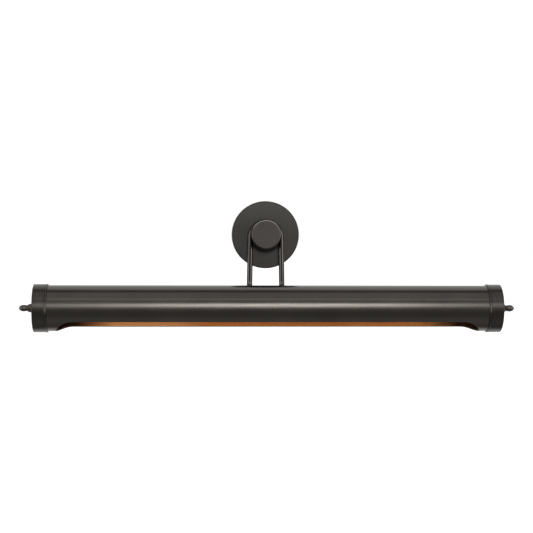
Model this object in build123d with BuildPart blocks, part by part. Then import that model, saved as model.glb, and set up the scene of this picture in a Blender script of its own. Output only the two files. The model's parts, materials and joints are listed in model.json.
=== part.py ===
from build123d import *

import math
import os

# Wall-mounted picture light.
# A round canopy covers the junction box. A boss on the canopy clamps a hairpin arm, one bent tube
# whose two legs hang down and turn forward into the back of a long cylindrical shade. Inside the
# shade a fixed channel carries three tubular lamps. The shade turns about its own axis on the studs
# of two finials, one through each end cap.
#
# Frame: origin at the centre of the canopy's back face, which is the wall plane Y = 0.
# +X runs along the shade, +Y points into the wall, +Z is up. The front of the light faces -Y.

# ---------------------------------------------------------------- driving dimensions, mm and degrees

# Canopy, mounting strap and boss
CANOPY_RADIUS = 54.3
CANOPY_DEPTH = 20.0
CANOPY_WALL = 1.5
CANOPY_EDGE_RADIUS = 1.5
BOSS_RADIUS = 23.5
BOSS_FACE = 48.0
BOSS_EDGE_RADIUS = 2.0
NIPPLE_RADIUS = 5.0
NIPPLE_BORE_RADIUS = 3.4
STRAP_THICKNESS = 2.0
STRAP_WIDTH = 20.0
STRAP_RISE = 8.0
BOX_SCREW_SPACING = 88.9
BOX_SLOT_LENGTH = 12.0
BOX_SLOT_WIDTH = 4.4
STRAP_CORNER_RADIUS = 3.0
STRAP_BEND_OFFSET = 1.0
GROUND_SCREW_X = -31.0
GROUND_SCREW_RADIUS = 2.0
GROUND_WASHER_RADIUS = 4.2
GROUND_WASHER_THICKNESS = 0.8
GROUND_HEAD_RADIUS = 3.6
GROUND_HEAD_HEIGHT = 2.4
LOCKNUT_RADIUS = 8.0
THREAD_CHAMFER = 0.6
LEAD_HOLE_RADIUS = 2.2

# Hairpin arm
ARM_RADIUS = 4.5
ARM_BORE_RADIUS = 3.5
ARM_PLANE = 30.0
LOOP_RADIUS = 24.67
LOOP_DROP = 4.3
LEG_SPLAY = 1.0
ARM_ENTRY_ANGLE = 10.0
ARM_BEND_RADIUS = 30.0
ARM_FIT = 0.05

# Shade
SHADE_AXIS_OUT = 120.0
SHADE_AXIS_DROP = 114.6
TUBE_RADIUS = 35.5
TUBE_WALL = 1.2
LINER_WALL = 0.5
OPENING_ARC = 88.2
OPENING_FORWARD_TURN = 11.1
OPENING_LENGTH = 655.0
TILT_TOWARDS_WALL = 33.0
TILT_AWAY = 15.0
SLOT_WIDTH = 10.4
SLOT_SPARE_ANGLE = 1.8

# End caps and finials
CAP_FACE = 362.0
CAP_RADIUS = 37.2
CAP_WIDTH = 22.5
CAP_FACE_WALL = 2.0
CAP_EDGE_RADIUS = 1.5
BEAD_WIDTH = 3.2
BEAD_HEIGHT = 0.55
BEAD_GROOVE = 0.2
FINIAL_LENGTH = 22.4
STUD_RADIUS = 3.0
RUNNING_CLEARANCE = 0.05
MOVING_GAP = 0.3

# Lamp carrier
CARRIER_HEIGHT = 24.0
CARRIER_HALF_WIDTH = 17.0
CARRIER_FLANGE = 10.0
SHEET = 1.5
CARRIER_HALF_LENGTH = 356.0

# Lamps and lampholders
LAMP_PITCH = 220.0
LAMP_COUNT = 3
LAMP_AXIS_OFFSET = 3.0
LAMP_GLASS_RADIUS = 15.0
LAMP_BASE_RADIUS = 13.0
LAMP_GLASS_LENGTH = 150.0
GLASS_WALL = 0.8
HOLDER_START = -94.0
HOLDER_RADIUS = 17.0
HOLDER_LENGTH = 42.0
HOLDER_FLOOR = 10.0
HOLDER_BACK_STEP = 3.0
HOLDER_TAPER_LENGTH = 8.0
HOLDER_THREAD_DEPTH = 6.0
SHELL_RADIUS = 14.0
SHELL_WALL = 0.6
SHELL_DEPTH = 30.0
CONTACT_RADIUS = 3.0
CONTACT_HEIGHT = 2.0
BASE_LENGTH = 26.0
GLASS_SHOULDER = 9.0

# Fasteners and leads
SMALL_SCREW_RADIUS = 1.5
SCREW_HEAD_RADIUS = 2.8
SCREW_HEAD_HEIGHT = 2.0
SCREW_END = 2.0
DRIVER_SLOT_WIDTH = 0.8
LEAD_RADIUS = 1.0

# How far a cutting shape runs past the material it goes through.
OVERRUN = 1.0

# ---------------------------------------------------------------- derived places and directions

SHADE_CENTRE = Vector(0, -SHADE_AXIS_OUT, -SHADE_AXIS_DROP)
SHADE_AXIS = Axis(SHADE_CENTRE, (1, 0, 0))
SLOPE = math.radians(ARM_ENTRY_ANGLE)
ARM_DIRECTION = Vector(0, math.cos(SLOPE), math.sin(SLOPE))
ACROSS = Vector(0, math.sin(SLOPE), -math.cos(SLOPE))
LAMP_CENTRE = SHADE_CENTRE - ARM_DIRECTION * LAMP_AXIS_OFFSET
LAMP_AXIS = Axis(LAMP_CENTRE, (1, 0, 0))

CARRIER_OUTSIDE = CARRIER_HEIGHT + SHEET
CANOPY_HOLE_RADIUS = NIPPLE_RADIUS + 0.2
SPOOL_BORE_RADIUS = NIPPLE_RADIUS + 0.1
CAP_INSIDE = CAP_FACE - CAP_FACE_WALL
LINER_RADIUS = TUBE_RADIUS - TUBE_WALL
NECK_RADIUS = LOOP_RADIUS - ARM_RADIUS - LOOP_DROP - ARM_FIT
NECK_FRONT = ARM_PLANE + ARM_RADIUS + ARM_FIT
NECK_BACK = ARM_PLANE - ARM_RADIUS - ARM_FIT
SPLAY = math.radians(LEG_SPLAY)
LOOP_CENTRE = Vector(0, -ARM_PLANE, -LOOP_DROP)

# The leg's tangent line meets the plane of the entry direction at the bend's corner.
CORNER_Z = -SHADE_AXIS_DROP + (SHADE_AXIS_OUT - ARM_PLANE) * math.tan(SLOPE)
LEG_START = LOOP_CENTRE + Vector(LOOP_RADIUS * math.cos(SPLAY), 0, LOOP_RADIUS * math.sin(SPLAY))
LEG_X = LEG_START.X + (LEG_START.Z - CORNER_Z) * math.tan(SPLAY)
LEG_CORNER = Vector(LEG_X, -ARM_PLANE, CORNER_Z)
ARM_NUT_HEIGHT = 4.0
ARM_END_SPARE = 0.5
ARM_END_HEIGHT = CARRIER_HEIGHT - ARM_NUT_HEIGHT - ARM_END_SPARE
LEG_END = SHADE_CENTRE + ARM_DIRECTION * ARM_END_HEIGHT + Vector(LEG_X, 0, 0)

HOLDER_STARTS = [
    LAMP_PITCH * (index - (LAMP_COUNT - 1) / 2) + HOLDER_START for index in range(LAMP_COUNT)
]
HOLDER_SCREW_SPREAD = 7.0
BRACKET_HALF_WIDTH = 9.0
BRACKET_EYE_RADIUS = 11.0
BRACKET_FOOT = 14.0
END_PLATE_GAP = 1.1
END_FOOT_START = 340.0
END_SCREW_INSET = 7.0
END_PLATE_OUT = CAP_INSIDE - END_PLATE_GAP
PIVOT_NUT_LENGTH = 5.0
PIVOT_NUT_RADIUS = 6.5


def carrier_plane(height):
    """Plane square to the arm's entry direction: local x is +X, local y runs across the channel."""
    return Plane(
        origin=SHADE_CENTRE + ARM_DIRECTION * height, x_dir=(1, 0, 0), z_dir=ARM_DIRECTION
    )


def section_plane(x):
    """Plane square to the shade: local x runs across the channel, local y towards the arm."""
    return Plane(origin=SHADE_CENTRE + Vector(x, 0, 0), x_dir=ACROSS, z_dir=(1, 0, 0))


def lengthwise_plane(centre):
    """Upright plane through an axis along X: local x is +X, local y is +Z."""
    return Plane(origin=centre, x_dir=(1, 0, 0), z_dir=(0, -1, 0))


def mirrored(point):
    return Vector(-point.X, point.Y, point.Z)


def loop_point(angle):
    turn = math.radians(angle)
    return LOOP_CENTRE + Vector(LOOP_RADIUS * math.cos(turn), 0, LOOP_RADIUS * math.sin(turn))


def save(builder, label):
    builder.part.label = label
    export_step(builder.part, f"parts/{label}.step")


os.makedirs("parts", exist_ok=True)

# ---------------------------------------------------------------- canopy and boss

# Canopy: a shallow drawn pan, open at the wall, with a hole for the threaded nipple.
with BuildPart() as canopy:
    with BuildSketch(Plane.XY):
        with BuildLine():
            Polyline(
                (CANOPY_HOLE_RADIUS, -CANOPY_DEPTH),
                (CANOPY_RADIUS, -CANOPY_DEPTH),
                (CANOPY_RADIUS, 0),
                (CANOPY_RADIUS - CANOPY_WALL, 0),
                (CANOPY_RADIUS - CANOPY_WALL, CANOPY_WALL - CANOPY_DEPTH),
                (CANOPY_HOLE_RADIUS, CANOPY_WALL - CANOPY_DEPTH),
                close=True,
            )
        make_face()
    revolve(axis=Axis.Y)
    front_rim = canopy.edges().group_by(Axis.Y)[0].sort_by(SortBy.RADIUS)[-1]
    fillet(front_rim, CANOPY_EDGE_RADIUS)
save(canopy, "canopy")

# Mounting strap: flat ends against the junction box, raised middle for the nipple and its nuts.
STRAP_FLAT_START = 24.0
STRAP_RAISED_END = 15.0
STRAP_END = 51.0
STRAP_FACE = -STRAP_RISE - STRAP_THICKNESS
with BuildPart() as mounting_strap:
    with BuildSketch(Plane.XY.offset(-STRAP_WIDTH / 2)):
        with BuildLine():
            Polyline(
                (-STRAP_END, 0),
                (-STRAP_FLAT_START, 0),
                (-STRAP_RAISED_END, -STRAP_RISE),
                (STRAP_RAISED_END, -STRAP_RISE),
                (STRAP_FLAT_START, 0),
                (STRAP_END, 0),
                (STRAP_END, -STRAP_THICKNESS),
                (STRAP_FLAT_START - STRAP_BEND_OFFSET, -STRAP_THICKNESS),
                (STRAP_RAISED_END - STRAP_BEND_OFFSET, STRAP_FACE),
                (STRAP_BEND_OFFSET - STRAP_RAISED_END, STRAP_FACE),
                (STRAP_BEND_OFFSET - STRAP_FLAT_START, -STRAP_THICKNESS),
                (-STRAP_END, -STRAP_THICKNESS),
                close=True,
            )
        make_face()
    extrude(amount=STRAP_WIDTH)
    corners = mounting_strap.edges().filter_by(Axis.Y)
    fillet(corners, STRAP_CORNER_RADIUS)
    with BuildSketch(Plane.XZ):
        with Locations((-BOX_SCREW_SPACING / 2, 0), (BOX_SCREW_SPACING / 2, 0)):
            SlotOverall(BOX_SLOT_LENGTH, BOX_SLOT_WIDTH)
        Circle(NIPPLE_RADIUS)
        with Locations((GROUND_SCREW_X, 0)):
            Circle(GROUND_SCREW_RADIUS)
    extrude(amount=STRAP_RISE + STRAP_THICKNESS, mode=Mode.SUBTRACT)
save(mounting_strap, "mounting_strap")

# Ground screw in the strap's left end.
with BuildPart() as ground_screw:
    with BuildSketch(Plane.XZ):
        with Locations((GROUND_SCREW_X, 0)):
            Circle(GROUND_SCREW_RADIUS)
    extrude(amount=STRAP_THICKNESS)
    with BuildSketch(Plane.XZ.offset(STRAP_THICKNESS)):
        with Locations((GROUND_SCREW_X, 0)):
            Circle(GROUND_WASHER_RADIUS)
    extrude(amount=GROUND_WASHER_THICKNESS)
    with BuildSketch(Plane.XZ.offset(STRAP_THICKNESS + GROUND_WASHER_THICKNESS)):
        with Locations((GROUND_SCREW_X, 0)):
            RegularPolygon(GROUND_HEAD_RADIUS, 6)
            Rectangle(2 * GROUND_HEAD_RADIUS, DRIVER_SLOT_WIDTH, mode=Mode.SUBTRACT)
    extrude(amount=GROUND_HEAD_HEIGHT)
save(ground_screw, "ground_screw")

# Threaded nipple from the strap through the canopy into the boss, with a cross hole for the leads.
NIPPLE_BACK = 3.0
NIPPLE_FRONT = 43.0
THREAD_RELIEF = 1.0
with BuildPart() as center_nipple:
    with BuildSketch(Plane.XZ.offset(NIPPLE_BACK)):
        Circle(NIPPLE_RADIUS)
        Circle(NIPPLE_BORE_RADIUS, mode=Mode.SUBTRACT)
    extrude(amount=NIPPLE_FRONT - NIPPLE_BACK)
    chamfer(center_nipple.edges().filter_by(GeomType.CIRCLE).group_by(SortBy.RADIUS)[-1], THREAD_CHAMFER)
    with BuildSketch(Plane.XY):
        with Locations((0, -ARM_PLANE)):
            Circle(LEAD_HOLE_RADIUS)
    extrude(amount=NIPPLE_RADIUS + OVERRUN, mode=Mode.SUBTRACT)
save(center_nipple, "center_nipple")

# Two locknuts grip the strap's raised middle on the nipple.
LOCKNUT_THICKNESS = 3.2
with BuildPart() as nipple_locknuts:
    for face in (STRAP_RISE - LOCKNUT_THICKNESS, STRAP_RISE + STRAP_THICKNESS):
        with BuildSketch(Plane.XZ.offset(face)):
            RegularPolygon(LOCKNUT_RADIUS, 6)
            Circle(NIPPLE_RADIUS, mode=Mode.SUBTRACT)
        extrude(amount=LOCKNUT_THICKNESS)
save(nipple_locknuts, "nipple_locknuts")

# Spool: a shoulder against the canopy and a neck that the hairpin arm hangs on.
SPOOL_SHOULDER_RADIUS = 20.0
with BuildPart() as hub_spool:
    with BuildSketch(Plane.XY):
        with BuildLine():
            Polyline(
                (SPOOL_BORE_RADIUS, -CANOPY_DEPTH),
                (SPOOL_SHOULDER_RADIUS, -CANOPY_DEPTH),
                (SPOOL_SHOULDER_RADIUS, -NECK_BACK),
                (NECK_RADIUS, -NECK_BACK),
                (NECK_RADIUS, -NECK_FRONT),
                (SPOOL_BORE_RADIUS, -NECK_FRONT),
                close=True,
            )
        make_face()
    revolve(axis=Axis.Y)
    with BuildSketch(Plane.XY):
        with Locations((0, -ARM_PLANE)):
            Circle(LEAD_HOLE_RADIUS)
    extrude(amount=NECK_RADIUS + OVERRUN, mode=Mode.SUBTRACT)
save(hub_spool, "hub_spool")

# Boss cap: the plain round front that screws onto the nipple and clamps the arm.
with BuildPart() as hub_cap:
    with BuildSketch(Plane.XY):
        with BuildLine():
            Polyline(
                (0, -BOSS_FACE),
                (BOSS_RADIUS, -BOSS_FACE),
                (BOSS_RADIUS, -NECK_FRONT),
                (NIPPLE_RADIUS, -NECK_FRONT),
                (NIPPLE_RADIUS, -NIPPLE_FRONT - THREAD_RELIEF),
                (0, -NIPPLE_FRONT - THREAD_RELIEF),
                close=True,
            )
        make_face()
    revolve(axis=Axis.Y)
    fillet(hub_cap.edges().group_by(Axis.Y)[0], BOSS_EDGE_RADIUS)
save(hub_cap, "hub_cap")

# ---------------------------------------------------------------- hairpin arm

# One thin-walled tube: forward runs into the shade, bends, splayed legs and the loop over the neck.
with BuildPart() as hairpin_arm:
    with BuildLine() as arm_route:
        FilletPolyline(LEG_END, LEG_CORNER, LEG_START, radius=ARM_BEND_RADIUS)
        ThreePointArc(LEG_START, loop_point(90), mirrored(LEG_START))
        FilletPolyline(
            mirrored(LEG_START), mirrored(LEG_CORNER), mirrored(LEG_END), radius=ARM_BEND_RADIUS
        )
    with BuildSketch(Plane(origin=LEG_END, x_dir=(1, 0, 0), z_dir=ARM_DIRECTION)):
        Circle(ARM_RADIUS)
        Circle(ARM_BORE_RADIUS, mode=Mode.SUBTRACT)
    sweep(path=arm_route.wires()[0])
    with BuildSketch(Plane.XY.offset(NECK_RADIUS - OVERRUN)):
        with Locations((0, -ARM_PLANE)):
            Circle(LEAD_HOLE_RADIUS)
    extrude(amount=ARM_RADIUS, mode=Mode.SUBTRACT)
save(hairpin_arm, "hairpin_arm")

# Hex nuts on the arm's ends, one on each side of the carrier's web.
ARM_NUT_RADIUS = 7.5
with BuildPart() as arm_nuts:
    for height in (CARRIER_HEIGHT - ARM_NUT_HEIGHT, CARRIER_OUTSIDE):
        with BuildSketch(carrier_plane(height)):
            with Locations((-LEG_X, 0), (LEG_X, 0)):
                RegularPolygon(ARM_NUT_RADIUS, 6)
                Circle(ARM_RADIUS, mode=Mode.SUBTRACT)
        extrude(amount=ARM_NUT_HEIGHT)
save(arm_nuts, "arm_nuts")

# Insulating bushings in the arm's open ends.
BUSHING_BORE_RADIUS = LEAD_RADIUS + 0.3
BUSHING_LIP = 1.0
BUSHING_LENGTH = 6.0
with BuildPart() as arm_bushings:
    with BuildSketch(carrier_plane(ARM_END_HEIGHT - BUSHING_LIP)):
        with Locations((-LEG_X, 0), (LEG_X, 0)):
            Circle(ARM_RADIUS)
            Circle(BUSHING_BORE_RADIUS, mode=Mode.SUBTRACT)
    extrude(amount=BUSHING_LIP)
    with BuildSketch(carrier_plane(ARM_END_HEIGHT)):
        with Locations((-LEG_X, 0), (LEG_X, 0)):
            Circle(ARM_BORE_RADIUS)
            Circle(BUSHING_BORE_RADIUS, mode=Mode.SUBTRACT)
    extrude(amount=BUSHING_LENGTH)
save(arm_bushings, "arm_bushings")

# ---------------------------------------------------------------- lamp carrier inside the shade

END_SCREW_X = END_FOOT_START + END_SCREW_INSET
END_SCREW_SPREAD = 7.0
foot_screw_places = [(start - SHEET - BRACKET_FOOT / 2, 0) for start in HOLDER_STARTS]
end_screw_places = [
    (side * END_SCREW_X, across * END_SCREW_SPREAD) for side in (-1, 1) for across in (-1, 1)
]

# Carrier: a U channel with its web towards the wall and its flanges beside the lamps.
with BuildPart() as lamp_carrier:
    with BuildSketch(section_plane(-CARRIER_HALF_LENGTH)):
        with Locations((0, CARRIER_OUTSIDE - CARRIER_FLANGE / 2)):
            Rectangle(2 * CARRIER_HALF_WIDTH, CARRIER_FLANGE)
        with Locations((0, CARRIER_HEIGHT - CARRIER_FLANGE / 2)):
            Rectangle(2 * (CARRIER_HALF_WIDTH - SHEET), CARRIER_FLANGE, mode=Mode.SUBTRACT)
    extrude(amount=2 * CARRIER_HALF_LENGTH)
    with BuildSketch(carrier_plane(CARRIER_HEIGHT - OVERRUN)):
        with Locations((-LEG_X, 0), (LEG_X, 0)):
            Circle(ARM_RADIUS)
        with Locations(*foot_screw_places, *end_screw_places):
            Circle(SMALL_SCREW_RADIUS)
    extrude(amount=SHEET + 2 * OVERRUN, mode=Mode.SUBTRACT)
save(lamp_carrier, "lamp_carrier")

# End brackets: a foot inside the channel and an upright plate that the finial's stud screws into.
PLATE_RADIUS = 12.0
PLATE_HOLE_RADIUS = STUD_RADIUS + 1.0


def end_bracket(side, label):
    inner, outer = sorted((side * (END_PLATE_OUT - SHEET), side * END_PLATE_OUT))
    foot_middle = side * (END_FOOT_START + END_PLATE_OUT) / 2
    with BuildPart() as bracket:
        with BuildSketch(section_plane(inner)):
            Circle(PLATE_RADIUS)
            with Locations((0, CARRIER_HEIGHT / 2)):
                Rectangle(2 * PLATE_RADIUS, CARRIER_HEIGHT)
            Circle(PLATE_HOLE_RADIUS, mode=Mode.SUBTRACT)
        extrude(amount=outer - inner)
        with BuildSketch(carrier_plane(CARRIER_HEIGHT - SHEET)):
            with Locations((foot_middle, 0)):
                Rectangle(END_PLATE_OUT - END_FOOT_START, 2 * PLATE_RADIUS)
        extrude(amount=SHEET)
        with BuildSketch(carrier_plane(CARRIER_HEIGHT - SHEET - OVERRUN)):
            with Locations(*[place for place in end_screw_places if place[0] * side > 0]):
                Circle(SMALL_SCREW_RADIUS)
        extrude(amount=SHEET + 2 * OVERRUN, mode=Mode.SUBTRACT)
    save(bracket, label)


end_bracket(-1, "left_end_bracket")
end_bracket(1, "right_end_bracket")


# Pivot nuts: welded inside the end plates, threaded for the finial's stud.
def pivot_nut(side, label):
    face = END_PLATE_OUT - SHEET
    start = face - PIVOT_NUT_LENGTH if side > 0 else -face
    with BuildPart() as nut:
        with BuildSketch(section_plane(start)):
            RegularPolygon(PIVOT_NUT_RADIUS, 6)
            Circle(STUD_RADIUS + RUNNING_CLEARANCE, mode=Mode.SUBTRACT)
        extrude(amount=PIVOT_NUT_LENGTH)
    save(nut, label)


pivot_nut(-1, "left_pivot_nut")
pivot_nut(1, "right_pivot_nut")

# ---------------------------------------------------------------- lampholders and lamps


def holder_bracket(start, label):
    """Bent strip: foot under the carrier's web, plate behind the lampholder."""
    with BuildPart() as bracket:
        with BuildSketch(section_plane(start - SHEET)):
            with Locations((0, -LAMP_AXIS_OFFSET)):
                Circle(BRACKET_EYE_RADIUS)
            with Locations((0, CARRIER_HEIGHT / 2)):
                Rectangle(2 * BRACKET_HALF_WIDTH, CARRIER_HEIGHT)
            with Locations(
                (0, -LAMP_AXIS_OFFSET - HOLDER_SCREW_SPREAD),
                (0, -LAMP_AXIS_OFFSET + HOLDER_SCREW_SPREAD),
            ):
                Circle(SMALL_SCREW_RADIUS, mode=Mode.SUBTRACT)
        extrude(amount=SHEET)
        with BuildSketch(carrier_plane(CARRIER_HEIGHT - SHEET)):
            with Locations((start - SHEET - BRACKET_FOOT / 2, 0)):
                Rectangle(BRACKET_FOOT, 2 * BRACKET_HALF_WIDTH)
                Circle(SMALL_SCREW_RADIUS, mode=Mode.SUBTRACT)
        extrude(amount=SHEET)
    save(bracket, label)


def holder_body(start, label):
    """Ceramic cup with a screw shell's seat and two tapped holes in its back."""
    with BuildPart() as body:
        with BuildSketch(lengthwise_plane(LAMP_CENTRE)):
            with BuildLine():
                Polyline(
                    (start, 0),
                    (start, HOLDER_RADIUS - HOLDER_BACK_STEP),
                    (start + HOLDER_TAPER_LENGTH, HOLDER_RADIUS),
                    (start + HOLDER_LENGTH, HOLDER_RADIUS),
                    (start + HOLDER_LENGTH, SHELL_RADIUS),
                    (start + HOLDER_FLOOR, SHELL_RADIUS),
                    (start + HOLDER_FLOOR, 0),
                    close=True,
                )
            make_face()
        revolve(axis=LAMP_AXIS)
        with BuildSketch(section_plane(start)):
            with Locations(
                (0, -LAMP_AXIS_OFFSET - HOLDER_SCREW_SPREAD),
                (0, -LAMP_AXIS_OFFSET + HOLDER_SCREW_SPREAD),
            ):
                Circle(SMALL_SCREW_RADIUS)
        extrude(amount=HOLDER_THREAD_DEPTH, mode=Mode.SUBTRACT)
    save(body, label)


def screw_shell(start, label):
    """Metal screw shell with its centre contact."""
    floor = start + HOLDER_FLOOR
    with BuildPart() as shell:
        with BuildSketch(lengthwise_plane(LAMP_CENTRE)):
            with BuildLine():
                Polyline(
                    (floor, 0),
                    (floor, SHELL_RADIUS),
                    (floor + SHELL_DEPTH, SHELL_RADIUS),
                    (floor + SHELL_DEPTH, SHELL_RADIUS - SHELL_WALL),
                    (floor + SHELL_WALL, SHELL_RADIUS - SHELL_WALL),
                    (floor + SHELL_WALL, CONTACT_RADIUS + 1),
                    (floor + CONTACT_HEIGHT, CONTACT_RADIUS),
                    (floor + CONTACT_HEIGHT, 0),
                    close=True,
                )
            make_face()
        revolve(axis=LAMP_AXIS)
    save(shell, label)


def lamp_base(start, label):
    """Lamp's screw base: tip contact, insulator cone and threaded skirt."""
    tip = start + HOLDER_FLOOR + CONTACT_HEIGHT
    tip_radius, tip_height = 3.5, 1.0
    cone_height, skirt_step = 4.0, 1.0
    with BuildPart() as base:
        with BuildSketch(lengthwise_plane(LAMP_CENTRE)):
            with BuildLine():
                Polyline(
                    (tip, 0),
                    (tip, tip_radius),
                    (tip + tip_height, tip_radius + tip_height),
                    (tip + cone_height, LAMP_BASE_RADIUS - 3 * skirt_step),
                    (tip + cone_height + skirt_step, LAMP_BASE_RADIUS - skirt_step / 2),
                    (tip + cone_height + 2 * skirt_step, LAMP_BASE_RADIUS),
                    (tip + BASE_LENGTH, LAMP_BASE_RADIUS),
                    (tip + BASE_LENGTH, 0),
                    close=True,
                )
            make_face()
        revolve(axis=LAMP_AXIS)
    save(base, label)


def lamp_glass(start, label):
    """Tubular bulb with a rounded end, open at the neck where the base is cemented on."""
    neck = start + HOLDER_FLOOR + CONTACT_HEIGHT + BASE_LENGTH
    shoulder = neck + GLASS_SHOULDER
    end = neck + LAMP_GLASS_LENGTH
    neck_radius = LAMP_BASE_RADIUS - 1
    inner = LAMP_GLASS_RADIUS - GLASS_WALL
    dome = math.sqrt(0.5)
    with BuildPart() as glass:
        with BuildSketch(lengthwise_plane(LAMP_CENTRE)):
            with BuildLine():
                Polyline(
                    (neck, neck_radius - GLASS_WALL),
                    (neck, neck_radius),
                    (shoulder, LAMP_GLASS_RADIUS),
                    (end - LAMP_GLASS_RADIUS, LAMP_GLASS_RADIUS),
                )
                ThreePointArc(
                    (end - LAMP_GLASS_RADIUS, LAMP_GLASS_RADIUS),
                    (end - LAMP_GLASS_RADIUS * (1 - dome), LAMP_GLASS_RADIUS * dome),
                    (end, 0),
                )
                Line((end, 0), (end - GLASS_WALL, 0))
                ThreePointArc(
                    (end - GLASS_WALL, 0),
                    (end - LAMP_GLASS_RADIUS + inner * dome, inner * dome),
                    (end - LAMP_GLASS_RADIUS, inner),
                )
                Polyline(
                    (end - LAMP_GLASS_RADIUS, inner),
                    (shoulder, inner),
                    (neck, neck_radius - GLASS_WALL),
                )
            make_face()
        revolve(axis=LAMP_AXIS)
    save(glass, label)


for number, holder_start in enumerate(HOLDER_STARTS, start=1):
    holder_bracket(holder_start, f"lampholder_bracket_{number}")
    holder_body(holder_start, f"lampholder_{number}")
    screw_shell(holder_start, f"screw_shell_{number}")
    lamp_base(holder_start, f"lamp_base_{number}")
    lamp_glass(holder_start, f"lamp_glass_{number}")

# Screws that fix the brackets' feet to the carrier's web, heads on the outside.
with BuildPart() as bracket_screws:
    with BuildSketch(carrier_plane(CARRIER_HEIGHT - SHEET - SCREW_END)):
        with Locations(*foot_screw_places, *end_screw_places):
            Circle(SMALL_SCREW_RADIUS)
    extrude(amount=2 * SHEET + SCREW_END)
    with BuildSketch(carrier_plane(CARRIER_OUTSIDE)):
        with Locations(*foot_screw_places, *end_screw_places):
            Circle(SCREW_HEAD_RADIUS)
            Rectangle(2 * SCREW_HEAD_RADIUS, DRIVER_SLOT_WIDTH, mode=Mode.SUBTRACT)
    extrude(amount=SCREW_HEAD_HEIGHT)
save(bracket_screws, "bracket_screws")

# Screws that fix each lampholder to its bracket, heads behind the plate.
with BuildPart() as lampholder_screws:
    for holder_start in HOLDER_STARTS:
        for height in (-HOLDER_SCREW_SPREAD, HOLDER_SCREW_SPREAD):
            with BuildSketch(section_plane(holder_start - SHEET)):
                with Locations((0, height - LAMP_AXIS_OFFSET)):
                    Circle(SMALL_SCREW_RADIUS)
            extrude(amount=SHEET + HOLDER_THREAD_DEPTH)
            with BuildSketch(section_plane(holder_start - SHEET - SCREW_HEAD_HEIGHT)):
                with Locations((0, height - LAMP_AXIS_OFFSET)):
                    Circle(SCREW_HEAD_RADIUS)
            extrude(amount=SCREW_HEAD_HEIGHT)
save(lampholder_screws, "lampholder_screws")

# ---------------------------------------------------------------- leads in the arm

LEAD_HEIGHT = 16.8
LEAD_ACROSS = 11.0
LEAD_END_X = 300.0
LEAD_STEP_ASIDE = 10.0
LEAD_BENDS = [ARM_BEND_RADIUS, 2.5, 4.0]
LEAD_LOOP_ANGLES = (82, 40)


def carrier_point(x, across, height):
    return SHADE_CENTRE + Vector(x, 0, 0) + ACROSS * across + ARM_DIRECTION * height


def lead(side, label):
    """One insulated lead: down one leg of the arm, out of its end and along the carrier."""
    route_points = [
        LEG_START,
        LEG_CORNER,
        carrier_point(LEG_X, 0, LEAD_HEIGHT),
        carrier_point(LEG_X + LEAD_STEP_ASIDE, LEAD_ACROSS, LEAD_HEIGHT),
        carrier_point(LEAD_END_X, LEAD_ACROSS, LEAD_HEIGHT),
    ]
    loop_points = [*(loop_point(angle) for angle in LEAD_LOOP_ANGLES), LEG_START]
    if side < 0:
        route_points = [mirrored(point) for point in route_points]
        loop_points = [mirrored(point) for point in loop_points]
    with BuildPart() as wire:
        with BuildLine() as route:
            ThreePointArc(*loop_points)
            FilletPolyline(*route_points, radius=LEAD_BENDS)
        whole_route = route.wires()[0]
        with BuildSketch(Plane(origin=whole_route @ 0, z_dir=whole_route % 0)):
            Circle(LEAD_RADIUS)
        sweep(path=whole_route)
    save(wire, label)


lead(-1, "lead_black")
lead(1, "lead_white")

# ---------------------------------------------------------------- shade

OPENING_WIDTH = 2 * TUBE_RADIUS * math.sin(math.radians(OPENING_ARC / 2))
FORWARD = math.radians(OPENING_FORWARD_TURN)
OPENING_PLANE = Plane(
    origin=SHADE_CENTRE,
    x_dir=(1, 0, 0),
    z_dir=(0, -math.sin(FORWARD), -math.cos(FORWARD)),
)
ARM_HALF_ANGLE = math.degrees(math.asin(ARM_RADIUS / LINER_RADIUS)) + SLOT_SPARE_ANGLE
SLOT_TOP = ARM_ENTRY_ANGLE + TILT_AWAY + ARM_HALF_ANGLE
SLOT_BOTTOM = ARM_ENTRY_ANGLE - TILT_TOWARDS_WALL - ARM_HALF_ANGLE


def ring_point(radius, angle):
    """Point of a section plane at an angle above the rear horizontal."""
    turn = math.radians(angle - ARM_ENTRY_ANGLE)
    return (-radius * math.sin(turn), radius * math.cos(turn))


# Material to take out of the shade: the long rounded lamp opening and the two arm slots.
SLOT_CUT_DEPTH = 5.0
SLOT_NEAR, SLOT_FAR = TUBE_RADIUS - SLOT_CUT_DEPTH, TUBE_RADIUS + SLOT_CUT_DEPTH
SLOT_MIDDLE = (SLOT_TOP + SLOT_BOTTOM) / 2
with BuildPart() as shade_openings:
    with BuildSketch(OPENING_PLANE.offset(TUBE_RADIUS / 4)):
        SlotOverall(OPENING_LENGTH, OPENING_WIDTH)
    extrude(amount=TUBE_RADIUS)
    for centre in (-LEG_X, LEG_X):
        with BuildSketch(section_plane(centre - SLOT_WIDTH / 2)):
            with BuildLine():
                ThreePointArc(
                    ring_point(SLOT_NEAR, SLOT_BOTTOM),
                    ring_point(SLOT_NEAR, SLOT_MIDDLE),
                    ring_point(SLOT_NEAR, SLOT_TOP),
                )
                Line(ring_point(SLOT_NEAR, SLOT_TOP), ring_point(SLOT_FAR, SLOT_TOP))
                ThreePointArc(
                    ring_point(SLOT_FAR, SLOT_TOP),
                    ring_point(SLOT_FAR, SLOT_MIDDLE),
                    ring_point(SLOT_FAR, SLOT_BOTTOM),
                )
                Line(ring_point(SLOT_FAR, SLOT_BOTTOM), ring_point(SLOT_NEAR, SLOT_BOTTOM))
            make_face()
        extrude(amount=SLOT_WIDTH)

# Outer tube with its long rounded opening and the two slots that the arm passes through.
with BuildPart() as shade_tube:
    with BuildSketch(section_plane(-CAP_INSIDE)):
        Circle(TUBE_RADIUS)
        Circle(LINER_RADIUS, mode=Mode.SUBTRACT)
    extrude(amount=2 * CAP_INSIDE)
    add(shade_openings.part, mode=Mode.SUBTRACT)
save(shade_tube, "shade_tube")

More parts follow.
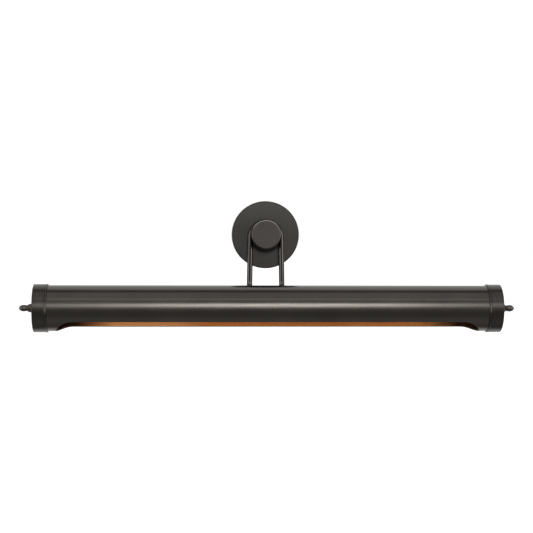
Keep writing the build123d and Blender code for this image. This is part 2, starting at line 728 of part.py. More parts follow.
# Copper-coloured reflector liner inside the tube, with the same openings.
LINER_SETBACK = 3.0
with BuildPart() as reflector_liner:
    with BuildSketch(section_plane(LINER_SETBACK - CAP_INSIDE)):
        Circle(LINER_RADIUS)
        Circle(LINER_RADIUS - LINER_WALL, mode=Mode.SUBTRACT)
    extrude(amount=2 * (CAP_INSIDE - LINER_SETBACK))
    add(shade_openings.part, mode=Mode.SUBTRACT)
save(reflector_liner, "reflector_liner")


def end_cap(side, label):
    """Cup over the tube's end: flat face, turned skirt, rounded bead at its inner edge."""
    skirt_end = CAP_FACE - CAP_WIDTH
    bead_radius = CAP_RADIUS + BEAD_HEIGHT
    bead_end = skirt_end + BEAD_WIDTH
    foot_radius = CAP_RADIUS - BEAD_GROOVE
    with BuildPart() as cap:
        with BuildSketch(lengthwise_plane(SHADE_CENTRE)):
            with BuildLine():
                Polyline(
                    (side * skirt_end, TUBE_RADIUS),
                    (side * skirt_end, foot_radius),
                )
                ThreePointArc(
                    (side * skirt_end, foot_radius),
                    (side * (skirt_end + BEAD_WIDTH / 2), bead_radius),
                    (side * bead_end, foot_radius),
                )
                Polyline(
                    (side * bead_end, foot_radius),
                    (side * (bead_end + 2 * BEAD_GROOVE), CAP_RADIUS),
                    (side * (CAP_FACE - CAP_EDGE_RADIUS), CAP_RADIUS),
                )
                RadiusArc(
                    (side * (CAP_FACE - CAP_EDGE_RADIUS), CAP_RADIUS),
                    (side * CAP_FACE, CAP_RADIUS - CAP_EDGE_RADIUS),
                    side * CAP_EDGE_RADIUS,
                )
                Polyline(
                    (side * CAP_FACE, CAP_RADIUS - CAP_EDGE_RADIUS),
                    (side * CAP_FACE, STUD_RADIUS + RUNNING_CLEARANCE),
                    (side * CAP_INSIDE, STUD_RADIUS + RUNNING_CLEARANCE),
                    (side * CAP_INSIDE, TUBE_RADIUS),
                    (side * skirt_end, TUBE_RADIUS),
                )
            make_face()
        revolve(axis=SHADE_AXIS)
    save(cap, label)


end_cap(-1, "left_end_cap")
end_cap(1, "right_end_cap")


WASHER_THICKNESS = 0.8
WASHER_RADIUS = PLATE_RADIUS - 1.0
WASHER_HOLE_RADIUS = STUD_RADIUS + 0.4


def friction_washer(side, label):
    """Fibre washer between the end cap and the end bracket."""
    start = CAP_INSIDE - WASHER_THICKNESS if side > 0 else -CAP_INSIDE
    with BuildPart() as washer:
        with BuildSketch(section_plane(start)):
            Circle(WASHER_RADIUS)
            Circle(WASHER_HOLE_RADIUS, mode=Mode.SUBTRACT)
        extrude(amount=WASHER_THICKNESS)
    save(washer, label)


friction_washer(-1, "left_friction_washer")
friction_washer(1, "right_friction_washer")


# ---------------------------------------------------------------- finials


COLLAR_RADIUS = 6.6
COLLAR_CHAMFER = 0.4
COLLAR_END = 7.0
NECK_MIDDLE = (8.6, 5.3)
NECK_END = (10.2, 4.4)
KNOB_WIDEST = (14.4, 5.1)
KNOB_SHOULDER = (18.6, 4.6)
KNOB_NOSE = (21.5, 2.6)
STUD_CHAMFER = 0.5
STUD_END = END_PLATE_OUT - SHEET - PIVOT_NUT_LENGTH - 1.0


def finial(side, label):
    """Thumb screw: bullet knob, short neck, flared collar and the stud that the shade turns on."""
    base = CAP_FACE + MOVING_GAP

    def at(distance, radius):
        return (side * (CAP_FACE + distance), radius)

    with BuildPart() as knob:
        with BuildSketch(lengthwise_plane(SHADE_CENTRE)):
            with BuildLine():
                Polyline(
                    (side * STUD_END, 0),
                    (side * STUD_END, STUD_RADIUS - STUD_CHAMFER),
                    (side * (STUD_END + STUD_CHAMFER), STUD_RADIUS),
                    (side * base, STUD_RADIUS),
                    (side * base, COLLAR_RADIUS - COLLAR_CHAMFER),
                    (side * (base + COLLAR_CHAMFER), COLLAR_RADIUS),
                    at(COLLAR_END, COLLAR_RADIUS),
                )
                ThreePointArc(at(COLLAR_END, COLLAR_RADIUS), at(*NECK_MIDDLE), at(*NECK_END))
                Spline(
                    at(*NECK_END),
                    at(*KNOB_WIDEST),
                    at(*KNOB_SHOULDER),
                    at(*KNOB_NOSE),
                    at(FINIAL_LENGTH, 0),
                    tangents=[(side, 0.25), (0, -1)],
                )
                Line(at(FINIAL_LENGTH, 0), (side * STUD_END, 0))
            make_face()
        revolve(axis=SHADE_AXIS)
    save(knob, label)


finial(-1, "left_finial")
finial(1, "right_finial")
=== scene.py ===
import json
import math

import bpy
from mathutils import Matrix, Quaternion, Vector


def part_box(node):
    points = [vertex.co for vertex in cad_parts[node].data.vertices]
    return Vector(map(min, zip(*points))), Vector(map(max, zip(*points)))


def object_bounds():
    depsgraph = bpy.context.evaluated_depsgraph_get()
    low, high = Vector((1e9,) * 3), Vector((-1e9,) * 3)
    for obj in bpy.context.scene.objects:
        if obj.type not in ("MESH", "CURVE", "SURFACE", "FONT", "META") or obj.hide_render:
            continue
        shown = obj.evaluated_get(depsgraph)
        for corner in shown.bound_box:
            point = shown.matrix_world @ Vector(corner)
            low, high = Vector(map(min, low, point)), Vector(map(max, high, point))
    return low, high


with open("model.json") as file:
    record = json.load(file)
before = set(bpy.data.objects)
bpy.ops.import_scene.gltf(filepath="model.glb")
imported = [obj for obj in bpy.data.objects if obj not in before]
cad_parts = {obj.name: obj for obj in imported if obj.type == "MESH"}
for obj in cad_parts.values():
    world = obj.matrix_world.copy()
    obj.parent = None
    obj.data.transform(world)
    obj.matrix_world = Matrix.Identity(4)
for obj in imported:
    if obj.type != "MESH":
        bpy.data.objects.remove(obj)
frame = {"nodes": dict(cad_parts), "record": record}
cad_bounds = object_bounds()

# ------------------------------------------------------------------ camera

VIEW_AZIMUTH = -2.95
VIEW_ELEVATION = 0.854
VIEW_ROLL = 0.147
VIEW_DISTANCE = 2.301
FOCAL_LENGTH = 100.25
SENSOR_WIDTH = 36.0
AIM_LEFT = 0.00345
AIM_DOWN = 0.0499


def make_camera():
    """Long lens, a little to the left of the light and a little above it."""
    tube_low, tube_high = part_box("shade_tube")
    turn, rise = math.radians(VIEW_AZIMUTH), math.radians(VIEW_ELEVATION)
    back = Vector(
        (math.sin(turn) * math.cos(rise), -math.cos(turn) * math.cos(rise), math.sin(rise))
    )
    facing = back.to_track_quat("Z", "Y") @ Quaternion((0, 0, 1), math.radians(VIEW_ROLL))
    right, up = facing @ Vector((1, 0, 0)), facing @ Vector((0, 1, 0))
    aim = Vector((0, (tube_low.y + tube_high.y) / 2, 0)) - right * AIM_LEFT - up * AIM_DOWN
    data = bpy.data.cameras.new("camera")
    data.lens = FOCAL_LENGTH
    data.sensor_width = SENSOR_WIDTH
    camera = bpy.data.objects.new("camera", data)
    bpy.context.scene.collection.objects.link(camera)
    camera.location = aim + back * VIEW_DISTANCE
    camera.rotation_mode = "QUATERNION"
    camera.rotation_quaternion = facing
    bpy.context.scene.camera = camera


# ------------------------------------------------------------------ studio

# Brightness of the studio round the light, by angle in the plane square to the shade:
# 0 is the side of the viewer, 90 straight up, 180 behind, -90 straight down.
SURROUND = [
    (-180, 0.85), (-150, 0.9), (-128, 1.0), (-119, 0.95), (-110, 0.26), (-85, 0.34), (-63, 0.42),
    (-48, 0.34), (-35, 0.27), (-22, 0.26), (-10, 0.31), (-4, 0.38), (3, 0.42), (12, 0.5), (30, 0.6),
    (44, 0.6), (46, 1.5), (49, 1.5), (51, 0.66), (65, 0.74), (80, 0.76), (87, 0.62), (94, 0.16),
    (101, 0.16), (107, 0.85), (114, 1.2), (122, 1.12), (135, 1.0), (180, 0.85),
]
SURROUND_TOP = 2.0

# Bright soft panel behind the viewer: its height above the horizon, its width to each side, and
# how many degrees it rises for each degree aside.
PANEL_RISE = [
    (-2, 0.0), (4, 0.12), (9, 0.42), (13, 0.92), (19, 1.0), (22, 0.85), (25, 0.12), (28, 0.0),
]
PANEL_SPAN = [
    (-22, 0.0), (-9, 0.02), (-5, 0.1), (-2.5, 0.3), (0, 0.62), (2, 0.88), (4, 1.0), (7, 0.82),
    (10, 0.19), (11, 0.03), (12.5, 0.0), (20, 0.0),
]
PANEL_LEAN = 0.3
PANEL_STRENGTH = 9.8

# Soft panels at the sides, seen by upright round parts.
SIDE_SPAN = [
    (-72, 0.0), (-63, 0.85), (-50, 0.85), (-42, 0.0), (36, 0.0), (45, 1.0), (60, 1.0), (68, 0.0),
]
SIDE_RISE = [(-18, 0.0), (-9, 1.0), (14, 1.0), (24, 0.0)]
SIDE_STRENGTH = 6.0

# Dark screens square to the sides, which draw the outlines of upright round parts.
SCREEN_SPAN = [
    (-115, 0.0), (-105, 1.0), (-82, 1.0), (-74, 0.0), (70, 0.0), (78, 1.0), (105, 1.0), (115, 0.0),
]
SCREEN_DEPTH = 0.25


HALF_TURN = 180


def ramp_of_degrees(nodes, links, degrees, stops, top=1.0):
    """Turns an angle in degrees into a brightness by a row of (angle, value) stops."""
    span = nodes.new("ShaderNodeMapRange")
    span.inputs["From Min"].default_value = -HALF_TURN
    span.inputs["From Max"].default_value = HALF_TURN
    links.new(degrees, span.inputs["Value"])
    ramp = nodes.new("ShaderNodeValToRGB")
    links.new(span.outputs[0], ramp.inputs["Fac"])
    elements = ramp.color_ramp.elements
    elements.remove(elements[1])
    for index, (angle, value) in enumerate(stops):
        position = (angle + HALF_TURN) / (2 * HALF_TURN)
        if index:
            element = elements.new(position)
        else:
            element = elements[0]
            element.position = position
        element.color = (value / top, value / top, value / top, 1)
    return ramp.outputs["Color"]


def math_node(nodes, links, operation, first, second=None):
    node = nodes.new("ShaderNodeMath")
    node.operation = operation
    for socket, value in zip(node.inputs, (first, second)):
        if value is None:
            continue
        if isinstance(value, (int, float)):
            socket.default_value = value
        else:
            links.new(value, socket)
    return node.outputs[0]


def make_world():
    """White studio: an even surround with soft panels, and plain white straight to the camera."""
    world = bpy.data.worlds.new("studio")
    bpy.context.scene.world = world
    world.use_nodes = True
    nodes, links = world.node_tree.nodes, world.node_tree.links
    nodes.clear()

    def calc(operation, first, second=None):
        return math_node(nodes, links, operation, first, second)

    def ramp(degrees, stops, top=1.0):
        return ramp_of_degrees(nodes, links, degrees, stops, top)

    direction = nodes.new("ShaderNodeTexCoord")
    split = nodes.new("ShaderNodeSeparateXYZ")
    links.new(direction.outputs["Generated"], split.inputs[0])
    x, y, z = split.outputs
    front = calc("MULTIPLY", y, -1.0)
    around = calc("DEGREES", calc("ARCTAN2", z, front))
    rise = calc("DEGREES", calc("ARCSINE", z))
    aside = calc("DEGREES", calc("ARCTAN2", x, front))

    surround = calc("MULTIPLY", ramp(around, SURROUND, SURROUND_TOP), SURROUND_TOP)
    leaning = calc("SUBTRACT", rise, calc("MULTIPLY", aside, PANEL_LEAN))
    screens = calc("MULTIPLY", ramp(rise, SIDE_RISE), ramp(aside, SCREEN_SPAN))
    kept = calc("SUBTRACT", 1.0, calc("MULTIPLY", screens, SCREEN_DEPTH))
    surround = calc("MULTIPLY", surround, kept)
    panel = calc("MULTIPLY", ramp(leaning, PANEL_RISE), ramp(aside, PANEL_SPAN))
    sides = calc("MULTIPLY", ramp(rise, SIDE_RISE), ramp(aside, SIDE_SPAN))
    total = calc("ADD", surround, calc("MULTIPLY", panel, PANEL_STRENGTH))
    total = calc("ADD", total, calc("MULTIPLY", sides, SIDE_STRENGTH))

    studio = nodes.new("ShaderNodeBackground")
    studio.inputs["Color"].default_value = (1, 1, 1, 1)
    links.new(total, studio.inputs["Strength"])
    plain = nodes.new("ShaderNodeBackground")
    plain.inputs["Color"].default_value = (1, 1, 1, 1)
    path = nodes.new("ShaderNodeLightPath")
    mix = nodes.new("ShaderNodeMixShader")
    links.new(path.outputs["Is Camera Ray"], mix.inputs[0])
    links.new(studio.outputs[0], mix.inputs[1])
    links.new(plain.outputs[0], mix.inputs[2])
    out = nodes.new("ShaderNodeOutputWorld")
    links.new(mix.outputs[0], out.inputs["Surface"])


# Soft light from the left and a little below, which only matt surfaces show.
FILL_OFFSET = Vector((-1.3, -1.0, -0.15))
FILL_SIZE = (0.5, 0.5)
FILL_POWER = 16.0


def make_fill_light():
    """Area light aimed at the middle of the shade."""
    tube_low, tube_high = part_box("shade_tube")
    data = bpy.data.lights.new("fill", "AREA")
    data.shape = "RECTANGLE"
    data.size, data.size_y = FILL_SIZE
    data.energy = FILL_POWER
    light = bpy.data.objects.new("fill", data)
    bpy.context.scene.collection.objects.link(light)
    light.location = (tube_low + tube_high) / 2 + FILL_OFFSET
    light.rotation_euler = (-FILL_OFFSET).to_track_quat("-Z", "Y").to_euler()
    light.visible_glossy = False
    light.visible_camera = False


FLOOR_DROP = 2.6
FLOOR_RADIUS = 300.0
FLOOR_COLOUR = (0.9, 0.9, 0.9, 1)
FLOOR_GLOW = 0.35


def make_floor():
    """Pale floor well below the light, faintly bright so that it stays even."""
    bpy.ops.mesh.primitive_circle_add(
        vertices=96, radius=FLOOR_RADIUS, fill_type="NGON",
        location=(0, 0, cad_bounds[0].z - FLOOR_DROP),
    )
    floor = bpy.context.object
    floor.name = "floor"
    material = bpy.data.materials.new("floor")
    material.use_nodes = True
    shader = material.node_tree.nodes["Principled BSDF"]
    shader.inputs["Base Color"].default_value = FLOOR_COLOUR
    shader.inputs["Roughness"].default_value = 0.8
    shader.inputs["Emission Color"].default_value = (1, 1, 1, 1)
    shader.inputs["Emission Strength"].default_value = FLOOR_GLOW
    floor.data.materials.append(material)
    floor.visible_glossy = False


# ------------------------------------------------------------------ material helpers


class Surface:
    """A principled material with short ways to add procedural colour, roughness and relief."""

    def __init__(self, name, colour, roughness, metallic=0.0):
        self.material = bpy.data.materials.new(name)
        self.material.use_nodes = True
        tree = self.material.node_tree
        self.nodes, self.links = tree.nodes, tree.links
        self.shader = self.nodes["Principled BSDF"]
        self.shader.inputs["Base Color"].default_value = (*colour, 1)
        self.shader.inputs["Roughness"].default_value = roughness
        self.shader.inputs["Metallic"].default_value = metallic
        self.place = self.nodes.new("ShaderNodeTexCoord").outputs["Object"]
        split = self.nodes.new("ShaderNodeSeparateXYZ")
        self.links.new(self.place, split.inputs[0])
        self.x, self.y, self.z = split.outputs
        self.colour, self.painted = colour, None

    def calc(self, operation, first, second=None):
        return math_node(self.nodes, self.links, operation, first, second)

    def noise(self, scale, stretch=(1, 1, 1), detail=4.0, seed=0.0):
        """Noise with its own stretch, so that grain can run along one direction."""
        mapping = self.nodes.new("ShaderNodeMapping")
        mapping.inputs["Location"].default_value = (seed, seed * 1.7, seed * 0.6)
        mapping.inputs["Scale"].default_value = stretch
        self.links.new(self.place, mapping.inputs["Vector"])
        texture = self.nodes.new("ShaderNodeTexNoise")
        texture.inputs["Scale"].default_value = scale
        texture.inputs["Detail"].default_value = detail
        self.links.new(mapping.outputs[0], texture.inputs["Vector"])
        return texture.outputs["Fac"]

    def spread(self, value, low, high, start=0.3, end=0.7):
        """Stretches start..end of a value over low..high."""
        node = self.nodes.new("ShaderNodeMapRange")
        node.inputs["From Min"].default_value = start
        node.inputs["From Max"].default_value = end
        node.inputs["To Min"].default_value = low
        node.inputs["To Max"].default_value = high
        self.links.new(value, node.inputs["Value"])
        return node.outputs[0]

    def band(self, value, start, end, soft):
        """1 between start and end, 0 outside, with soft edges."""
        rising = self.spread(value, 0.0, 1.0, start - soft, start)
        falling = self.spread(value, 1.0, 0.0, end, end + soft)
        return self.calc("MULTIPLY", rising, falling)

    def tint(self, factor, other):
        """Mixes the colour so far with another one."""
        mix = self.nodes.new("ShaderNodeMix")
        mix.data_type = "RGBA"
        mix.inputs["B"].default_value = (*other, 1)
        if self.painted is None:
            mix.inputs["A"].default_value = (*self.colour, 1)
        else:
            self.links.new(self.painted, mix.inputs["A"])
        self.links.new(factor, mix.inputs["Factor"])
        self.painted = mix.outputs["Result"]
        self.links.new(self.painted, self.shader.inputs["Base Color"])

    def rough(self, *values):
        total = values[0]
        for value in values[1:]:
            total = self.calc("ADD", total, value)
        self.links.new(total, self.shader.inputs["Roughness"])

    def bump(self, value, depth, strength=1.0):
        node = self.nodes.new("ShaderNodeBump")
        node.inputs["Distance"].default_value = depth
        node.inputs["Strength"].default_value = strength
        self.links.new(value, node.inputs["Height"])
        self.links.new(node.outputs[0], self.shader.inputs["Normal"])


# ------------------------------------------------------------------ bronze

BRONZE = (0.078, 0.070, 0.063)
BRONZE_LIGHT = (0.094, 0.085, 0.076)
# Dark tint for the caps' turning marks and the finials' neck, and for painted shade in the other
# places.
BRONZE_DARK = (0.020, 0.017, 0.015)
BRONZE_RIM_HIGHLIGHT = (0.30, 0.285, 0.265)
PLATE = (0.050, 0.0466, 0.0429)
PLATE_LIGHT = (0.060, 0.056, 0.0515)
PLATE_TOP_HIGHLIGHT = (0.075, 0.071, 0.064)
BOSS = (0.0685, 0.0618, 0.0569)
BOSS_LIGHT = (0.082, 0.074, 0.068)
ARM = (0.044, 0.0396, 0.036)
ARM_LIGHT = (0.053, 0.0477, 0.0434)
CAP = (0.062, 0.0557, 0.050)

TUBE_ROUGHNESS = 0.2
PLATE_ROUGHNESS = 0.36
ARM_ROUGHNESS = 0.13
CAP_ROUGHNESS = 0.24
FINIAL_ROUGHNESS = 0.15

BRUSHED_ALONG = (0.4, 14, 14)
BRUSHED_UPRIGHT = (16, 16, 0.8)
DRAWN_UPRIGHT = (14, 14, 0.5)
TURNED_ROUND = (70, 0.8, 0.8)

# Pairs of distances in metres: where a tint begins to change and where the change is complete.
INSIDE_SHADE = (0.0009, 0.0003)
RIM_SHADE = (0.0024, 0.0008)
RIM_DEPTH = (0.0015, 0.0035)
FACE_DEPTH = (0.0003, 0.0008)
PAINTED_RIM_BAND = (0.0012, 0.0001)
PAINTED_RIM_SOFT = 0.0004
PAINTED_RIM_DEPTH = (0.0016, 0.0026)
BOSS_SHADOW_DROP = 0.0022
BOSS_SHADOW_REACH = 0.0022
BOSS_SHADOW_FADE = 0.003
BEAD_SPAN = 0.0032
GROOVE_SHADE_WIDTH = 0.0006
GROOVE_SHADE_SOFT = 0.0002
CORNER_SHADE = (0.003, 0.0016)
EDGE_SHADE = (0.0018, 0.0008)
NECK_SPAN = (0.0146, 0.0125)
NECK_SOFT = 0.0012


def root_of_squares(surface, first, second):
    squares = [surface.calc("POWER", value, 2.0) for value in (first, second)]
    return surface.calc("SQRT", surface.calc("ADD", *squares))


def boss_radius(surface, drop=0.0):
    """Distance from the axis of the boss, or from a line that lies a little below it."""
    return root_of_squares(surface, surface.x, surface.calc("ADD", surface.z, drop))


def shade_radius(surface):
    """Distance from the axis of the shade."""
    low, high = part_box("shade_tube")
    middle = (low + high) / 2
    forward = surface.calc("SUBTRACT", surface.y, middle.y)
    upright = surface.calc("SUBTRACT", surface.z, middle.z)
    return root_of_squares(surface, forward, upright)


def bronze_surface(name, roughness, stretch, colour=BRONZE, light=BRONZE_LIGHT):
    """Dark bronze with fine grain along the stretched direction and faint cloudy patches."""
    surface = Surface(name, colour, roughness, metallic=1.0)
    grain = surface.noise(60.0, stretch, detail=6.0)
    clouds = surface.noise(14.0, detail=3.0, seed=3.0)
    surface.tint(surface.spread(clouds, 0.0, 1.0), light)
    surface.rough(
        surface.spread(grain, -0.03, 0.03),
        surface.spread(clouds, roughness - 0.02, roughness + 0.01),
    )
    surface.bump(grain, 0.00002, 0.5)
    return surface


def tube_bronze():
    """Shade tube: satin finish brushed along its length, with painted shade on its inner surface.
    """
    surface = bronze_surface("bronze_tube", TUBE_ROUGHNESS, BRUSHED_ALONG)
    low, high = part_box("shade_tube")
    outside = (high.z - low.z) / 2
    start, end = (outside - depth for depth in INSIDE_SHADE)
    # Painted shade: the inner surface of the tube is tinted darker.
    surface.tint(surface.spread(shade_radius(surface), 0.85, 0.0, start, end), BRONZE_DARK)
    return surface.material


def plate_bronze():
    """Canopy and spool: duller finish, brushed upright, with painted light on the upper part,
    painted shade at the rim and a painted shadow round and below the boss.
    """
    surface = bronze_surface("bronze_plate", PLATE_ROUGHNESS, BRUSHED_UPRIGHT, PLATE, PLATE_LIGHT)
    low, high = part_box("canopy")
    rim, face = (high.x - low.x) / 2, low.y
    # Painted light: the upper part of the canopy is tinted lighter.
    surface.tint(surface.spread(surface.z, 0.0, 0.8, 0.1 * rim, 0.8 * rim), PLATE_TOP_HIGHLIGHT)
    # Painted shade: the rounded rim of the canopy is tinted darker.
    start, end = (rim - reach for reach in RIM_SHADE)
    outer = surface.spread(boss_radius(surface), 0.0, 0.75, start, end)
    start, end = (face + depth for depth in RIM_DEPTH)
    rounding = surface.spread(surface.y, 1.0, 0.0, start, end)
    surface.tint(surface.calc("MULTIPLY", outer, rounding), BRONZE_DARK)
    # Painted shadow of the boss: a dark ring round it on the front face, reaching further below it
    # than above.
    low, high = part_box("hub_cap")
    edge = (high.x - low.x) / 2 + BOSS_SHADOW_REACH
    boss_shadow = surface.spread(boss_radius(surface, BOSS_SHADOW_DROP), 0.88, 0.0, edge, edge + BOSS_SHADOW_FADE)
    start, end = (face + depth for depth in FACE_DEPTH)
    front = surface.spread(surface.y, 1.0, 0.0, start, end)
    surface.tint(surface.calc("MULTIPLY", boss_shadow, front), BRONZE_DARK)
    return surface.material


def arm_bronze():
    """Hairpin arm: smoother finish drawn along its legs."""
    return bronze_surface("bronze_arm", ARM_ROUGHNESS, DRAWN_UPRIGHT, ARM, ARM_LIGHT).material


def boss_bronze():
    """Boss: the canopy's finish, with a painted highlight on the upper side of the rounded front
    rim and painted shade on its lower side.
    """
    surface = bronze_surface("bronze_boss", PLATE_ROUGHNESS, BRUSHED_UPRIGHT, BOSS, BOSS_LIGHT)
    low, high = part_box("hub_cap")
    rim = (high.x - low.x) / 2
    inner, outer = (rim - reach for reach in PAINTED_RIM_BAND)
    painted_rim = surface.band(boss_radius(surface), inner, outer, PAINTED_RIM_SOFT)
    start, end = (low.y + depth for depth in PAINTED_RIM_DEPTH)
    painted_rim = surface.calc("MULTIPLY", painted_rim, surface.spread(surface.y, 1.0, 0.0, start, end))
    lit_side = surface.spread(surface.z, 0.0, 1.0, 0.3 * rim, 0.75 * rim)
    shaded_side = surface.spread(surface.z, 0.35, 0.0, -0.97 * rim, -0.9 * rim)
    # Painted highlight on the upper side of the rim, painted shade on its lower side.
    surface.tint(surface.calc("MULTIPLY", painted_rim, lit_side), BRONZE_RIM_HIGHLIGHT)
    surface.tint(surface.calc("MULTIPLY", painted_rim, shaded_side), BRONZE_DARK)
    return surface.material


def cap_bronze():
    """End caps: turning marks round the axis, with painted shade as dark lines in the grooves
    beside the bead and at the rounded outer edge.
    """
    surface = Surface("bronze_cap", CAP, CAP_ROUGHNESS, metallic=1.0)
    marks = surface.noise(60.0, TURNED_ROUND, detail=6.0)
    clouds = surface.noise(18.0, detail=3.0, seed=5.0)
    low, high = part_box("right_end_cap")
    out = surface.calc("ABSOLUTE", surface.x)
    bead_end = low.x + BEAD_SPAN
    groove_shade = surface.calc(
        "MAXIMUM",
        surface.band(out, low.x - GROOVE_SHADE_WIDTH, low.x + GROOVE_SHADE_WIDTH, GROOVE_SHADE_SOFT),
        surface.band(out, bead_end - GROOVE_SHADE_WIDTH / 2, bead_end + GROOVE_SHADE_WIDTH, GROOVE_SHADE_SOFT),
    )
    rim = (high.z - low.z) / 2
    start, end = (rim - reach for reach in CORNER_SHADE)
    corner = surface.spread(shade_radius(surface), 0.0, 1.0, start, end)
    start, end = (high.x - depth for depth in EDGE_SHADE)
    edge = surface.spread(out, 0.0, 0.85, start, end)
    surface.tint(surface.spread(marks, 0.0, 0.8, 0.35, 0.75), BRONZE)
    surface.tint(surface.spread(marks, 0.5, 0.0, 0.25, 0.5), BRONZE_DARK)
    # Painted shade in the grooves on both sides of the bead.
    surface.tint(surface.calc("MULTIPLY", groove_shade, 0.75), BRONZE_DARK)
    # Painted shade on the rounded outer edge of the cap.
    surface.tint(surface.calc("MULTIPLY", edge, corner), BRONZE_DARK)
    surface.rough(
        surface.spread(marks, -0.05, 0.06),
        surface.spread(clouds, CAP_ROUGHNESS - 0.02, CAP_ROUGHNESS + 0.02),
    )
    surface.bump(marks, 0.00003, 0.6)
    return surface.material


def finial_bronze():
    """Finials: polished bronze, darker in the neck."""
    surface = Surface("bronze_finial", BRONZE_LIGHT, FINIAL_ROUGHNESS, metallic=1.0)
    clouds = surface.noise(220.0, detail=4.0)
    low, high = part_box("right_finial")
    out = surface.calc("ABSOLUTE", surface.x)
    start, end = (high.x - depth for depth in NECK_SPAN)
    neck = surface.band(out, start, end, NECK_SOFT)
    surface.tint(surface.spread(clouds, 0.0, 0.6), BRONZE)
    surface.tint(surface.calc("MULTIPLY", neck, 0.6), BRONZE_DARK)
    surface.rough(surface.spread(clouds, 0.11, 0.2))
    surface.bump(clouds, 0.00001, 0.5)
    return surface.material


# ------------------------------------------------------------------ other finishes

COPPER = (0.90, 0.36, 0.10)
COPPER_DEEP = (0.78, 0.28, 0.065)
COPPER_SHADE = (0.035, 0.014, 0.009)
COPPER_HIGHLIGHT = (1.0, 0.47, 0.17)
HIGHLIGHT_SPAN = (-0.24, -0.14)
HIGHLIGHT_SOFT = 0.05
LINER_SHADE_START = 0.24
LINER_SHADE_END = 0.298


def copper_lining():
    """Reflector liner: warm satin copper, rolled lengthwise, with painted shade towards both ends
    and a painted pool of light on the left.
    """
    surface = Surface("copper_lining", COPPER, 0.42, metallic=0.5)
    grain = surface.noise(45.0, (0.3, 10, 10), detail=5.0)
    clouds = surface.noise(9.0, detail=3.0, seed=2.0)
    out = surface.calc("ABSOLUTE", surface.x)
    surface.tint(surface.spread(clouds, 0.0, 1.0), COPPER_DEEP)
    # Painted pool of light on the left part of the liner.
    surface.tint(surface.band(surface.x, *HIGHLIGHT_SPAN, HIGHLIGHT_SOFT), COPPER_HIGHLIGHT)
    # Painted shade towards both ends of the liner.
    surface.tint(surface.spread(out, 0.0, 0.95, LINER_SHADE_START, LINER_SHADE_END), COPPER_SHADE)
    surface.rough(surface.spread(grain, 0.36, 0.5))
    surface.bump(grain, 0.00004, 0.6)
    return surface.material


def metal(name, colour, other, roughness, grain_scale=300.0, relief=0.00001):
    """Plain metal with fine grain between two close colours."""
    surface = Surface(name, colour, roughness, metallic=1.0)
    grain = surface.noise(grain_scale, detail=5.0)
    surface.tint(surface.spread(grain, 0.0, 1.0), other)
    surface.rough(surface.spread(grain, roughness - 0.05, roughness + 0.06))
    surface.bump(grain, relief, 0.6)
    return surface.material


def coat(name, colour, other, roughness, grain_scale=200.0, relief=0.00002):
    """Plastic, glaze or paint with fine mottling between two close colours."""
    surface = Surface(name, colour, roughness)
    grain = surface.noise(grain_scale, detail=5.0)
    surface.tint(surface.spread(grain, 0.0, 1.0), other)
    surface.rough(surface.spread(grain, roughness - 0.05, roughness + 0.08))
    surface.bump(grain, relief, 0.5)
    return surface.material


THREAD_PITCH = 0.0036
THREAD_RELIEF = 0.0004


def thread_turns(surface):
    """Smooth ridges along X, one for each turn of a lamp thread."""
    phase = surface.calc("MULTIPLY", surface.x, 2 * math.pi / THREAD_PITCH)
    return surface.calc("SINE", phase)


def screw_shell_brass():
    """Screw shells: stamped brass with the turns of the thread pressed in."""
    surface = Surface("contact_brass", (0.62, 0.45, 0.18), 0.3, metallic=1.0)
    grain = surface.noise(300.0, detail=5.0)
    surface.tint(surface.spread(grain, 0.0, 1.0), (0.5, 0.34, 0.13))
    surface.rough(surface.spread(grain, 0.25, 0.36))
    surface.bump(thread_turns(surface), THREAD_RELIEF, 0.8)
    return surface.material


def lamp_cap_metal():
    """Lamp bases: bright rolled metal with thread ridges."""
    surface = Surface("lamp_cap_metal", (0.68, 0.68, 0.69), 0.25, metallic=1.0)
    grain = surface.noise(260.0, detail=5.0)
    surface.tint(surface.spread(grain, 0.0, 1.0), (0.55, 0.55, 0.56))
    surface.rough(surface.spread(grain, 0.2, 0.32))
    surface.bump(thread_turns(surface), THREAD_RELIEF, 0.8)
    return surface.material


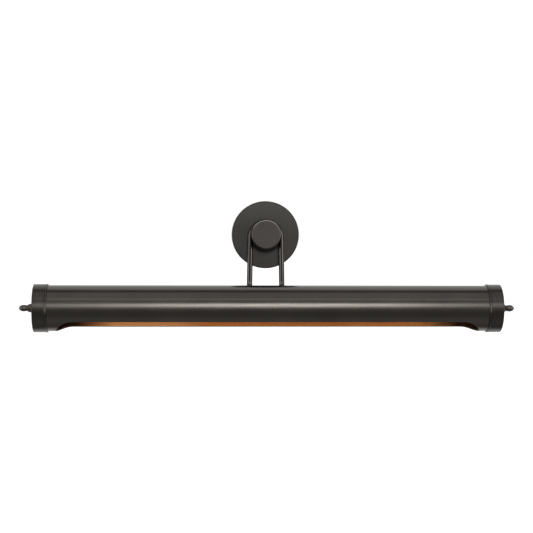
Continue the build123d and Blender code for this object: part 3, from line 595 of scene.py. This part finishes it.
def frosted_glass():
    """Lamp glass: white frosting, a little thinner in places."""
    surface = Surface("lamp_glass", (0.74, 0.72, 0.68), 0.35)
    surface.shader.inputs["Transmission Weight"].default_value = 0.35
    surface.shader.inputs["IOR"].default_value = 1.3
    clouds = surface.noise(30.0, detail=3.0)
    frost = surface.noise(900.0, detail=3.0, seed=4.0)
    surface.tint(surface.spread(clouds, 0.0, 1.0), (0.68, 0.66, 0.61))
    surface.rough(surface.spread(frost, 0.3, 0.42))
    surface.bump(frost, 0.00001, 0.4)
    return surface.material


def make_materials():
    """Finishes by material slot."""
    return {
        "bronze": tube_bronze(),
        "bronze_turned": cap_bronze(),
        "bronze_polished": finial_bronze(),
        "copper_lining": copper_lining(),
        "zinc_steel": metal("zinc_steel", (0.55, 0.56, 0.58), (0.42, 0.43, 0.45), 0.35),
        "green_screw": coat("green_screw", (0.03, 0.22, 0.07), (0.02, 0.16, 0.05), 0.35),
        "black_plastic": coat("black_plastic", (0.02, 0.02, 0.02), (0.03, 0.03, 0.03), 0.5),
        "lead_insulation_black": coat(
            "lead_insulation_black", (0.015, 0.015, 0.015), (0.03, 0.03, 0.03), 0.5
        ),
        "lead_insulation_white": coat(
            "lead_insulation_white", (0.72, 0.71, 0.68), (0.64, 0.63, 0.59), 0.5
        ),
        "fibre": coat("fibre", (0.30, 0.09, 0.06), (0.22, 0.06, 0.04), 0.75, 120.0),
        "porcelain": coat("porcelain", (0.64, 0.63, 0.59), (0.57, 0.555, 0.51), 0.2, 40.0),
        "contact_brass": screw_shell_brass(),
        "lamp_cap_metal": lamp_cap_metal(),
        "lamp_glass": frosted_glass(),
    }


def dress_cad_nodes(by_slot):
    """Gives every CAD node its finish: by its slot, and by its own brushing for the bronze ones."""
    plate, arm, boss = plate_bronze(), arm_bronze(), boss_bronze()
    by_node = {"canopy": plate, "hub_spool": plate, "hairpin_arm": arm, "hub_cap": boss}
    for entry in frame["record"]["subparts"]:
        name = entry["node"]
        finish = by_node.get(name, by_slot[entry["material_slot"]])
        for slot in frame["nodes"][name].material_slots:
            slot.material = finish


make_camera()
make_world()
make_fill_light()
make_floor()
dress_cad_nodes(make_materials())
bpy.context.scene.view_settings.view_transform = "Standard"
